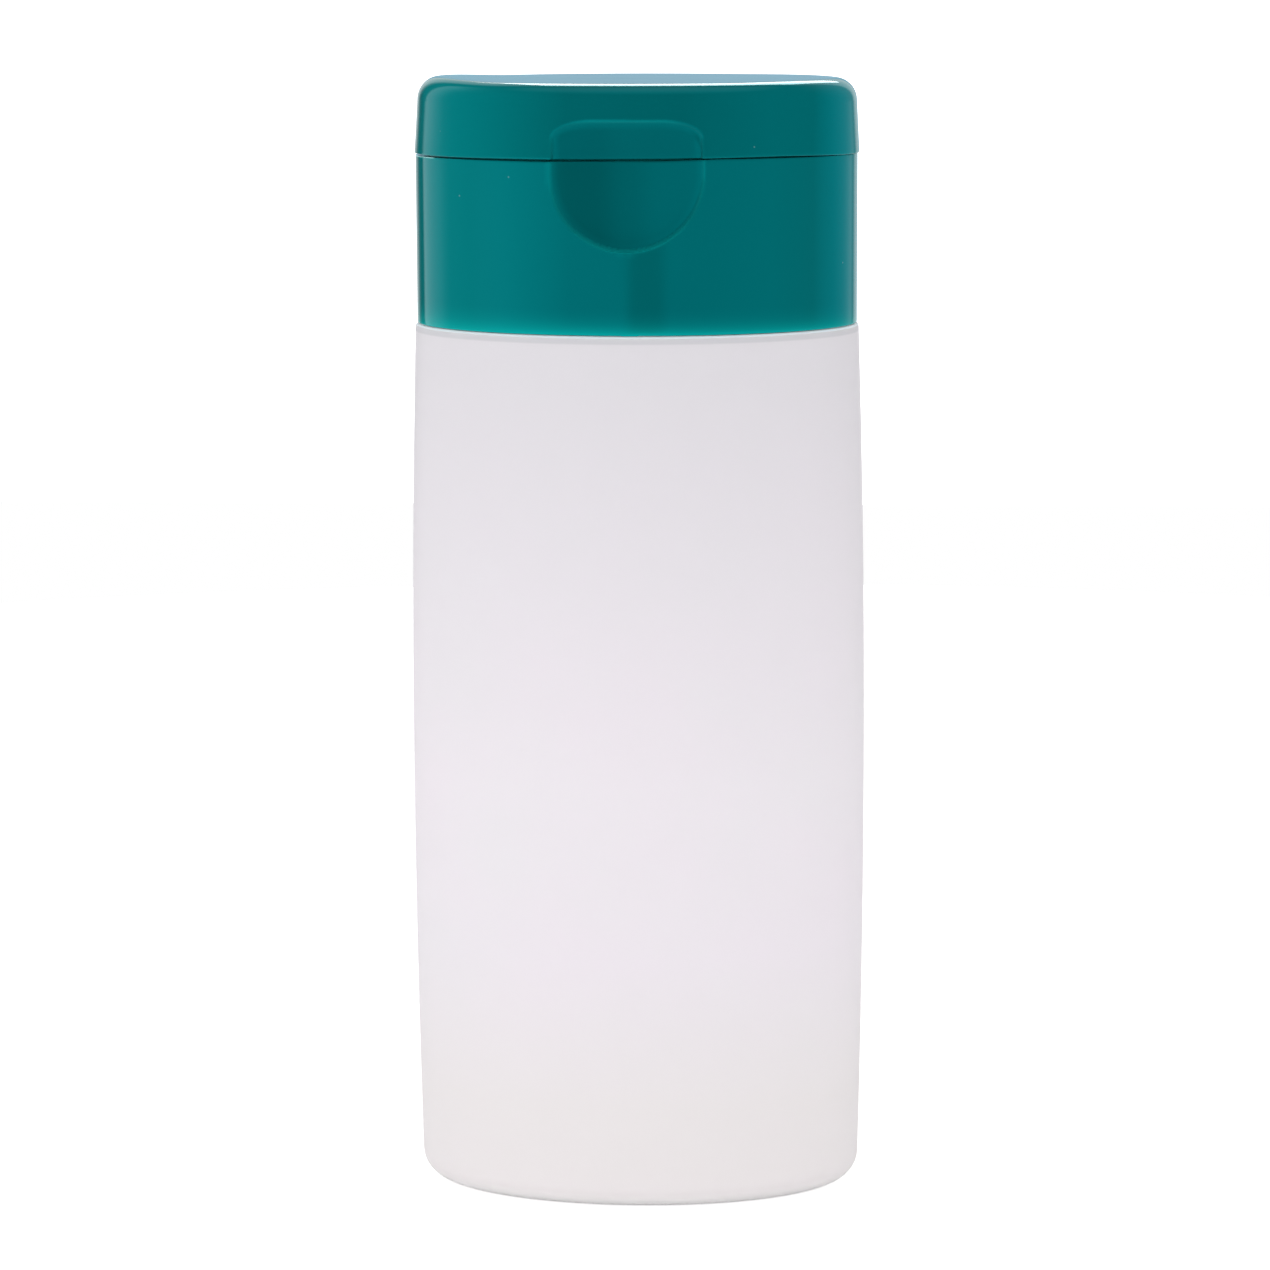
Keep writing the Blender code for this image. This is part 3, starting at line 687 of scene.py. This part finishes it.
def cap_base_shape():
    angles = cap_angles()
    wide, deep = CAP_HALF_WIDTH, CAP_HALF_DEPTH
    rows = []
    for out, up in arc(CAP_LOW_EDGE, -90, 0, EDGE_STEPS):
        row = inset(oval(angles, wide, deep, CAP_BOTTOM + CAP_LOW_EDGE + up), CAP_LOW_EDGE - out)
        rows.append(skirt_edge(row))
    low = RECESS_CENTRE - RECESS_HALF - 2 * RECESS_RIM[0]
    for height in np.linspace(CAP_BOTTOM + CAP_LOW_EDGE, low, SKIRT_ROWS)[1:]:
        rows.append(skirt_edge(carve(oval(angles, wide, deep, height))))
    top = CAP_TOP - CAP_TOP_EDGE
    for height in np.linspace(low, top, round((top - low) / FINE_STEP))[1:]:
        rows.append(rim_edge(carve(oval(angles, wide, deep, height))))
    for out, up in arc(CAP_TOP_EDGE, 0, 90, EDGE_STEPS)[1:]:
        row = inset(carve(oval(angles, wide, deep, top)), CAP_TOP_EDGE - out)
        row[:, 2] = top + up
        rows.append(rim_edge(row))
    step = LID_WALL + FIT_GAP
    step_flat = INNER_FLAT - FIT_GAP
    rows.append(rim_edge(oval(angles, wide - step, deep - step, CAP_TOP, step_flat)))
    for out, up in arc(DECK_EDGE, 0, 90, EDGE_STEPS):
        drawn = step + DECK_EDGE - out
        flat = step_flat - DECK_EDGE + out
        rows.append(oval(angles, wide - drawn, deep - drawn, DECK_TOP - DECK_EDGE + up, flat))
    rows.extend(spout_rows(angles))
    wide, deep = wide - CAP_WALL, deep - CAP_WALL
    rows.append(oval(angles, wide, deep, DECK_UNDERSIDE, INNER_FLAT))
    rows.append(oval(angles, wide, deep, INNER_FLAT_LOW, INNER_FLAT))
    rows.append(oval(angles, wide, deep, INNER_OVAL_TOP))
    rows.append(skirt_edge(oval(angles, wide, deep, CAP_BOTTOM)))
    shell = loft(rows, ring=True)
    inner, outer = SLEEVE_BORE, SLEEVE_BORE + SLEEVE_WALL
    sleeve = lathe([(inner, SLEEVE_LOW), (inner, SLEEVE_TOP), (outer, SLEEVE_TOP), (outer, SLEEVE_LOW)])
    thread = bead(SLEEVE_BORE, THREAD_LOW - THREAD_PITCH / 2, CAP_THREAD_TURNS)
    return joined(shell, sleeve, thread)


def lid_shape():
    angles = cap_angles()
    wide, deep = CAP_HALF_WIDTH + LID_OVERHANG, CAP_HALF_DEPTH + LID_OVERHANG
    inner_wide, inner_deep = CAP_HALF_WIDTH - LID_WALL, CAP_HALF_DEPTH - LID_WALL
    inner_radius = LID_TOP_RADIUS - LID_WALL
    ceiling = LID_TOP - LID_WALL
    rows = [centre(ceiling)]
    for out, up in arc(inner_radius, 90, 0, LID_INNER_STEPS):
        drawn = inner_radius - out
        height = ceiling - inner_radius + up
        rows.append(oval(angles, inner_wide - drawn, inner_deep - drawn, height, INNER_FLAT - drawn))
    rows.append(oval(angles, inner_wide, inner_deep, LID_BOTTOM, INNER_FLAT))
    low, top = LID_BOTTOM + LID_EDGE, LID_TOP - LID_TOP_RADIUS
    for out, up in arc(LID_EDGE, -90, 0, EDGE_STEPS)[:-1]:
        row = inset(carve(oval(angles, wide, deep, low)), LID_EDGE - out)
        row[:, 2] = low + up
        rows.append(row)
    for height in np.linspace(low, top, round((top - low) / FINE_STEP)):
        drawn = LID_DRAFT * (height - low) / (top - low)
        rows.append(carve(oval(angles, wide - drawn, deep - drawn, height)))
    for out, up in arc(LID_TOP_RADIUS, 0, 90, LID_TOP_STEPS)[1:]:
        drawn = LID_DRAFT + LID_TOP_RADIUS - out
        rows.append(oval(angles, wide - drawn, deep - drawn, top + up))
    drawn = LID_DRAFT + LID_TOP_RADIUS
    for share in LID_TOP_SHARES:
        rows.append(oval(angles, (wide - drawn) * share, (deep - drawn) * share, LID_TOP))
    rows.append(centre(LID_TOP))
    return joined(loft([lean(row) for row in rows]), pin_shape(ceiling + PIN_ROOT, SPOUT_TIP - PIN_REACH))


def pin_shape(root, tip):
    """The sealing pin, from its root in the lid's ceiling to its tip in the orifice."""
    bevel_in, bevel_up = PIN_TIP_BEVEL
    profile = [
        (PIN_CENTRE, root),
        (PIN_RADIUS, root),
        (PIN_RADIUS, tip + PIN_TIP_EDGE),
        (PIN_RADIUS - bevel_in, tip + bevel_up),
        (PIN_RADIUS - PIN_TIP_EDGE, tip),
        (PIN_CENTRE, tip),
    ]
    return lathe(profile, PIN_COLUMNS)


def web_shape(place, width, thickness, rise, waist):
    """A hinge web: an upright strip across the parting, thinner and a little narrower at its middle."""
    rows = []
    across = np.linspace(-1, 1, WEB_COLUMNS)
    for share in np.linspace(-1, 1, WEB_ROWS):
        half = width / 2 * (1 - waist * smooth_step(1 - abs(share), 0, 1))
        root = smooth_step(abs(share), *WEB_ROOT_SPAN)
        inner = HINGE_NEAR - root * (HINGE_NEAR - LAND_FLOOR + WEB_SINK)
        outer = HINGE_NEAR + thickness * (WEB_MIDDLE_THICKNESS + WEB_ROOT_THICKNESS * root)
        outer -= smooth_step(abs(share), *WEB_END_SPAN) * (outer - inner) * WEB_END_THINNING
        z = PARTING + share * rise
        front = [(place + half * s, inner, z) for s in across]
        rounding = [thickness * WEB_SIDE_THINNING * abs(s) ** WEB_SIDE_POWER for s in across[::-1]]
        back = [(place + half * s, outer - less, z) for s, less in zip(across[::-1], rounding)]
        rows.append(np.array(front + back))
    low = rows[0].mean(axis=0, keepdims=True)
    high = rows[-1].mean(axis=0, keepdims=True)
    return loft([low, *rows, high])


# Materials


def new_material(name, colour, roughness):
    """A plain plastic, for textures to be laid over."""
    material = bpy.data.materials.new(name)
    material.use_nodes = True
    shader = material.node_tree.nodes["Principled BSDF"]
    shader.inputs["Base Color"].default_value = (*colour, 1)
    shader.inputs["Roughness"].default_value = roughness
    shader.inputs["IOR"].default_value = PLASTIC_IOR
    return material, material.node_tree, shader


def node(tree, kind, inputs=None, **settings):
    made = tree.nodes.new(kind)
    for key, value in settings.items():
        setattr(made, key, value)
    for key, value in (inputs or {}).items():
        if isinstance(value, bpy.types.NodeSocket):
            tree.links.new(value, made.inputs[key])
        else:
            made.inputs[key].default_value = value
    return made


def maths(tree, operation, *values):
    return node(tree, "ShaderNodeMath", dict(enumerate(values)), operation=operation).outputs[0]


def noise(tree, place, scale, detail=2.0):
    values = {"Vector": place, "Scale": scale, "Detail": detail}
    return node(tree, "ShaderNodeTexNoise", values).outputs["Fac"]


def cells(tree, place, scale):
    """The distance from the nearest of many scattered points."""
    values = {"Vector": place, "Scale": scale}
    return node(tree, "ShaderNodeTexVoronoi", values, feature="F1").outputs["Distance"]


def spread(tree, value, low, high, to_low=0.0, to_high=1.0):
    """The value, spread from one span to another and held within it."""
    values = {"Value": value, "From Min": low, "From Max": high, "To Min": to_low, "To Max": to_high}
    return node(tree, "ShaderNodeMapRange", values, clamp=True).outputs["Result"]


def mix_colours(tree, share, first, second):
    made = node(tree, "ShaderNodeMix", data_type="RGBA", blend_type="MIX")
    for socket, value in (("Factor_Float", share), ("A_Color", first), ("B_Color", second)):
        target = next(s for s in made.inputs if s.identifier == socket)
        if isinstance(value, bpy.types.NodeSocket):
            tree.links.new(value, target)
        else:
            target.default_value = (*value, 1)
    return next(s for s in made.outputs if s.identifier == "Result_Color")


def banded(tree, colour, place, bands):
    """The colour with others laid over it, each from its start to where it is full, in millimetres."""
    for start, full, other in bands:
        colour = mix_colours(tree, spread(tree, place, start * MM, full * MM), colour, other)
    return colour


def place_of(tree, stretch=(1, 1, 1)):
    source = node(tree, "ShaderNodeTexCoord").outputs["Object"]
    return node(tree, "ShaderNodeMapping", {"Vector": source, "Scale": stretch}).outputs["Vector"]


def bumped(tree, shader, height, strength, distance):
    made = node(tree, "ShaderNodeBump", {"Height": height, "Strength": strength, "Distance": distance})
    tree.links.new(made.outputs["Normal"], shader.inputs["Normal"])


def milky_polyethylene():
    """Frosted, blown polyethylene: milky, with faint cloudy mottling, a fine matte grain, and painted shade
    and light by height.
    """
    material, tree, shader = new_material("milky_polyethylene", MILKY_PLAIN, MILKY_PLAIN_ROUGHNESS)
    place = place_of(tree)
    clouds = noise(tree, place, MILKY_CLOUD_SCALE, detail=3.0)
    colour = mix_colours(tree, spread(tree, clouds, *MILKY_CLOUD_SPAN), *MILKY_CLOUDS)
    height = node(tree, "ShaderNodeSeparateXYZ", {"Vector": place}).outputs["Z"]
    # The colours by height paint shade under the cap and the skirt, a highlight line on the shoulder and
    # light at the heel
    tree.links.new(banded(tree, colour, height, MILKY_TONE_AND_PAINTED_LIGHT_BANDS), shader.inputs["Base Color"])
    grain = noise(tree, place, MILKY_GRAIN_SCALE)
    tree.links.new(spread(tree, grain, *NOISE_SPAN, *MILKY_ROUGHNESS), shader.inputs["Roughness"])
    streaks = noise(tree, place_of(tree, MILKY_STREAK_STRETCH), MILKY_STREAK_SCALE)
    relief = maths(tree, "ADD", grain, maths(tree, "MULTIPLY", streaks, MILKY_STREAK_SHARE))
    bumped(tree, shader, relief, *MILKY_RELIEF)
    shader.inputs["Specular IOR Level"].default_value = MILKY_SPECULAR
    shader.inputs["Subsurface Weight"].default_value = MILKY_SCATTER
    shader.inputs["Subsurface Radius"].default_value = MILKY_SCATTER_RADIUS
    shader.inputs["Subsurface Scale"].default_value = MILKY_SCATTER_SCALE
    return material


def painted_skirt_light(tree, side, height):
    """How much painted light lightens the skirt: most at its lower edge, and more and higher up at its left.
    """
    drop = spread(tree, height, *TEAL_SKIRT_SPAN, 0.0, -1.0)
    fall = spread(tree, side, TEAL_SKIRT_LEFT, TEAL_SKIRT_FALL_RIGHT, *TEAL_SKIRT_FALL)
    most = spread(tree, side, TEAL_SKIRT_LEFT, 0.0, *TEAL_SKIRT_SHARE)
    return maths(tree, "MULTIPLY", maths(tree, "EXPONENT", maths(tree, "MULTIPLY", drop, fall)), most)


def teal_polypropylene():
    """Glossy moulded polypropylene, with painted light on its sides and skirt, painted highlights at the
    recess's rim and the parting, and painted shade in the recess.
    """
    material, tree, shader = new_material("teal_polypropylene", TEAL_PLAIN, TEAL_PLAIN_ROUGHNESS)
    place = place_of(tree)
    parts = node(tree, "ShaderNodeSeparateXYZ", {"Vector": place})
    side, height = parts.outputs["X"], parts.outputs["Z"]
    flow = noise(tree, place, TEAL_FLOW_SCALE)
    colour = mix_colours(tree, spread(tree, flow, *NOISE_SPAN), *TEAL_FLOW)
    # Painted light on the sides, most at the left
    colour = banded(tree, colour, side, TEAL_PAINTED_SIDE_LIGHT)
    # Painted light along the skirt's lower edge
    colour = mix_colours(tree, painted_skirt_light(tree, side, height), colour, TEAL_SKIRT_PAINTED_LIGHT)
    # Painted highlights at the recess's rim and the parting, and painted light at the left slit
    edge = node(tree, "ShaderNodeAttribute", attribute_name="painted_edge_light").outputs["Fac"]
    colour = mix_colours(tree, edge, colour, TEAL_PAINTED_EDGE_LIGHT)
    colour = mix_colours(tree, spread(tree, edge, 1.0, 2.0), colour, TEAL_PAINTED_SLIT_LIGHT)
    # Painted shade in the recess
    painted_recess_shade = node(tree, "ShaderNodeAttribute", attribute_name="painted_recess_shade").outputs["Fac"]
    colour = mix_colours(tree, painted_recess_shade, colour, TEAL_PAINTED_RECESS_SHADE)
    specks = spread(tree, cells(tree, place, TEAL_SPECK_SCALE), *TEAL_SPECK_SPAN, TEAL_SPECK_SHARE, 0.0)
    tree.links.new(mix_colours(tree, specks, colour, TEAL_SPECK), shader.inputs["Base Color"])
    wear = noise(tree, place, TEAL_WEAR_SCALE)
    tree.links.new(spread(tree, wear, *NOISE_SPAN, *TEAL_ROUGHNESS), shader.inputs["Roughness"])
    shader.inputs["Specular Tint"].default_value = TEAL_TINT
    bumped(tree, shader, wear, *TEAL_RELIEF)
    return material


def white_foam():
    """Fine-celled sealing foam."""
    material, tree, shader = new_material("white_foam", FOAM_PLAIN, FOAM_ROUGHNESS)
    bubbles = cells(tree, place_of(tree), FOAM_CELL_SCALE)
    colour = mix_colours(tree, spread(tree, bubbles, *FOAM_CELL_SPAN), *FOAM_CELLS)
    tree.links.new(colour, shader.inputs["Base Color"])
    bumped(tree, shader, bubbles, *FOAM_RELIEF)
    return material


# Studio


def direction(azimuth, elevation):
    """Towards a place round the bottle, by degrees of azimuth, from the front towards +X, and elevation."""
    a, e = math.radians(azimuth), math.radians(elevation)
    return Vector((math.sin(a) * math.cos(e), -math.cos(a) * math.cos(e), math.sin(e)))


def lift_for_camera(tree, surface, strength, gloss):
    """Adds a white glow for the camera and clear matter, and a share of it for gloss."""
    rays = node(tree, "ShaderNodeLightPath").outputs
    seen = maths(tree, "MAXIMUM", rays["Is Camera Ray"], rays["Is Transmission Ray"])
    seen = maths(tree, "MAXIMUM", seen, maths(tree, "MULTIPLY", rays["Is Glossy Ray"], gloss))
    glow = maths(tree, "MULTIPLY", seen, strength)
    light = node(tree, "ShaderNodeEmission", {"Color": (1, 1, 1, 1), "Strength": glow}).outputs[0]
    both = node(tree, "ShaderNodeAddShader", {0: surface, 1: light}).outputs[0]
    output = next(n for n in tree.nodes if n.type == "OUTPUT_MATERIAL")
    tree.links.new(both, output.inputs["Surface"])


def stage_surface(name, points, albedo, glow, gloss=0.0):
    """One flat face of the stage. Without a share for gloss, no reflection shows it."""
    material = bpy.data.materials.new(name)
    material.use_nodes = True
    tree = material.node_tree
    tree.nodes.remove(tree.nodes["Principled BSDF"])
    surface = node(tree, "ShaderNodeBsdfDiffuse", {"Color": (albedo, albedo, albedo, 1)}).outputs[0]
    lift_for_camera(tree, surface, glow, gloss)
    mesh = bpy.data.meshes.new(name)
    mesh.from_pydata(points, [], [list(range(len(points)))])
    mesh.materials.append(material)
    obj = bpy.data.objects.new(name, mesh)
    bpy.context.scene.collection.objects.link(obj)
    obj.visible_glossy = gloss > 0


def make_stage():
    turns = [math.tau * i / FLOOR_COLUMNS for i in range(FLOOR_COLUMNS)]
    rim = [(FLOOR_RADIUS * math.cos(turn), FLOOR_RADIUS * math.sin(turn), 0) for turn in turns]
    stage_surface("floor", rim, FLOOR_ALBEDO, FLOOR_GLOW, FLOOR_GLOSS)
    half, low, top = BACKDROP_HALF, BACKDROP_LOW, BACKDROP_TOP
    corners = [(x, BACKDROP_PLACE, z) for x, z in ((-half, low), (half, low), (half, top), (-half, top))]
    stage_surface("backdrop", corners, BACKDROP_ALBEDO, BACKDROP_GLOW)


def ramp(tree, value, stops):
    """A grey that follows stops of (degrees, brightness) round the azimuth, from -180 to 180."""
    made = node(tree, "ShaderNodeValToRGB", {"Fac": value})
    elements = made.color_ramp.elements
    while len(elements) > 1:
        elements.remove(elements[-1])
    elements[0].position = 0
    elements[0].color = (stops[0][1],) * 3 + (1,)
    for degrees, bright in stops[1:]:
        added = elements.new((degrees + 180) / 360)
        added.color = (bright, bright, bright, 1)
    return made.outputs["Color"]


def make_world():
    """Even light all round. Gloss sees a dim room with soft bright sides, and a pale table and back."""
    world = bpy.data.worlds.new("studio")
    bpy.context.scene.world = world
    world.use_nodes = True
    tree = world.node_tree
    rays = node(tree, "ShaderNodeLightPath").outputs
    generated = node(tree, "ShaderNodeTexCoord").outputs["Generated"]
    parts = node(tree, "ShaderNodeSeparateXYZ", {"Vector": generated}).outputs
    azimuth = maths(tree, "ARCTAN2", parts["X"], maths(tree, "MULTIPLY", parts["Y"], -1.0))
    azimuth = spread(tree, azimuth, -math.pi, math.pi)
    table, room = ramp(tree, azimuth, TABLE_GLOW), ramp(tree, azimuth, ROOM_GLOW)
    gloss = mix_colours(tree, spread(tree, parts["Z"], *TABLE_EDGE), table, room)
    for start, full, bright in CEILING_GLOW:
        gloss = mix_colours(tree, spread(tree, parts["Z"], start, full), gloss, (bright,) * 3)
    near_level = spread(tree, parts["Z"], *BACK_TOP, 1.0, 0.0)
    back = maths(tree, "MULTIPLY", spread(tree, parts["Y"], *BACK_SPAN), near_level)
    gloss = mix_colours(tree, back, gloss, BACK_GLOW)
    seen = mix_colours(tree, rays["Is Glossy Ray"], (WORLD_LIGHT,) * 3, gloss)
    seen = mix_colours(tree, rays["Is Camera Ray"], seen, (1.0, 1.0, 1.0))
    tree.links.new(seen, tree.nodes["Background"].inputs["Color"])


def area_light(name, azimuth, elevation, distance, width, height, radiance, for_gloss):
    """A soft panel that faces the bottle, for its gloss or its plain light. Radiance is as a white of 1."""
    back = direction(azimuth, elevation)
    light = bpy.data.lights.new(name, "AREA")
    light.shape = "RECTANGLE"
    light.size, light.size_y = width, height
    light.energy = radiance * math.pi * width * height
    obj = bpy.data.objects.new(name, light)
    obj.location = LAMPS_AIM + back * distance
    obj.rotation_euler = back.to_track_quat("Z", "Y").to_euler()
    obj.visible_glossy = for_gloss
    obj.visible_diffuse = not for_gloss
    bpy.context.scene.collection.objects.link(obj)


def make_camera():
    a, r = math.radians(AZIMUTH), math.radians(ROLL)
    back = direction(AZIMUTH, ELEVATION)
    right = Vector((math.cos(a), math.sin(a), 0))
    up = back.cross(right)
    right, up = math.cos(r) * right + math.sin(r) * up, -math.sin(r) * right + math.cos(r) * up
    target = Vector((TARGET_SIDE * math.cos(a), TARGET_SIDE * math.sin(a), TARGET_HEIGHT))
    data = bpy.data.cameras.new("camera")
    data.sensor_width = SENSOR
    data.lens = FOCAL_PIXELS / IMAGE_WIDTH * SENSOR
    data.clip_start, data.clip_end = NEAR_CLIP, FAR_CLIP
    camera = bpy.data.objects.new("camera", data)
    turn = Matrix((right, up, back)).transposed().to_4x4()
    camera.matrix_world = Matrix.Translation(target + back * DISTANCE) @ turn
    bpy.context.scene.collection.objects.link(camera)
    bpy.context.scene.camera = camera


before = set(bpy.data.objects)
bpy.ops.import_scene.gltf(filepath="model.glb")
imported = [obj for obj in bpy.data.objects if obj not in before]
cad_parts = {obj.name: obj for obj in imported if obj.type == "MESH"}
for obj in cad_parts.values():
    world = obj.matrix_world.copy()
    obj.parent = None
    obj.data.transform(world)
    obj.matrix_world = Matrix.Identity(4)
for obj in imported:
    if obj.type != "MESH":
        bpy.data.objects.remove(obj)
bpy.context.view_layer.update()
bpy.context.scene.view_settings.view_transform = "Standard"
make_camera()
make_world()
make_stage()
for lamp in LAMPS:
    area_light(*lamp)

milky = milky_polyethylene()
teal = teal_polypropylene()
foam = white_foam()

bottle = make_piece("bottle_shell", bottle_shape(), milky, "milky_polyethylene")
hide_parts("bottle")
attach(bottle, "bottle")

cap_base = make_piece("cap_base_shell", cap_base_shape(), teal, "teal_polypropylene")
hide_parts("cap_base")
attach(cap_base, "cap_base")

lid = make_piece("flip_lid_shell", lid_shape(), teal, "teal_polypropylene")
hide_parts("flip_lid")
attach(lid, "flip_lid")

for name, place, width, thickness, rise, waist in (
    ("hinge_film_left", -FILM_OFFSET, FILM_WIDTH, FILM_THICKNESS, FILM_RISE, FILM_WAIST),
    ("hinge_film_right", FILM_OFFSET, FILM_WIDTH, FILM_THICKNESS, FILM_RISE, FILM_WAIST),
    ("snap_strap", 0, STRAP_WIDTH, STRAP_THICKNESS, STRAP_RISE, STRAP_WAIST),
):
    shape = web_shape(place, width, thickness, rise, waist)
    web = make_piece(f"{name}_web", shape, teal, "teal_polypropylene")
    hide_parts(name)
    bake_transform(web)

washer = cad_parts["sealing_washer"]
washer.data.materials.clear()
washer.data.materials.append(foam)
